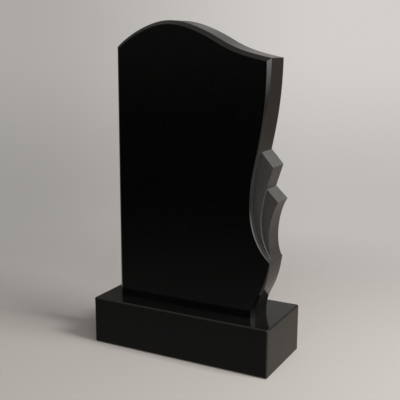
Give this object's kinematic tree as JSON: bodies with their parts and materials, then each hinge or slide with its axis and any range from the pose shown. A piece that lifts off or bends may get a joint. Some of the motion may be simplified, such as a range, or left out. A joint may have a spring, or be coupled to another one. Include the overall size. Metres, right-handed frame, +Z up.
{
  "type": "headstone",
  "caption": "Upright polished black granite headstone with a wave-shaped top and carved petals down one side, on a rectangular plinth.",
  "frame": {"origin": "centre of the plinth's underside, on the ground", "axes": "+Z up; the stele's face looks along -Y; +X to the right of someone facing it, the side with the carved petals"},
  "size_m": [0.6, 0.25, 1.0123],
  "materials": {
    "stele_granite": "polished",
    "plinth_granite": "polished"
  },
  "bodies": {
    "root": {"stele": "stele_granite", "plinth": "plinth_granite"}
  },
  "joints": []
}
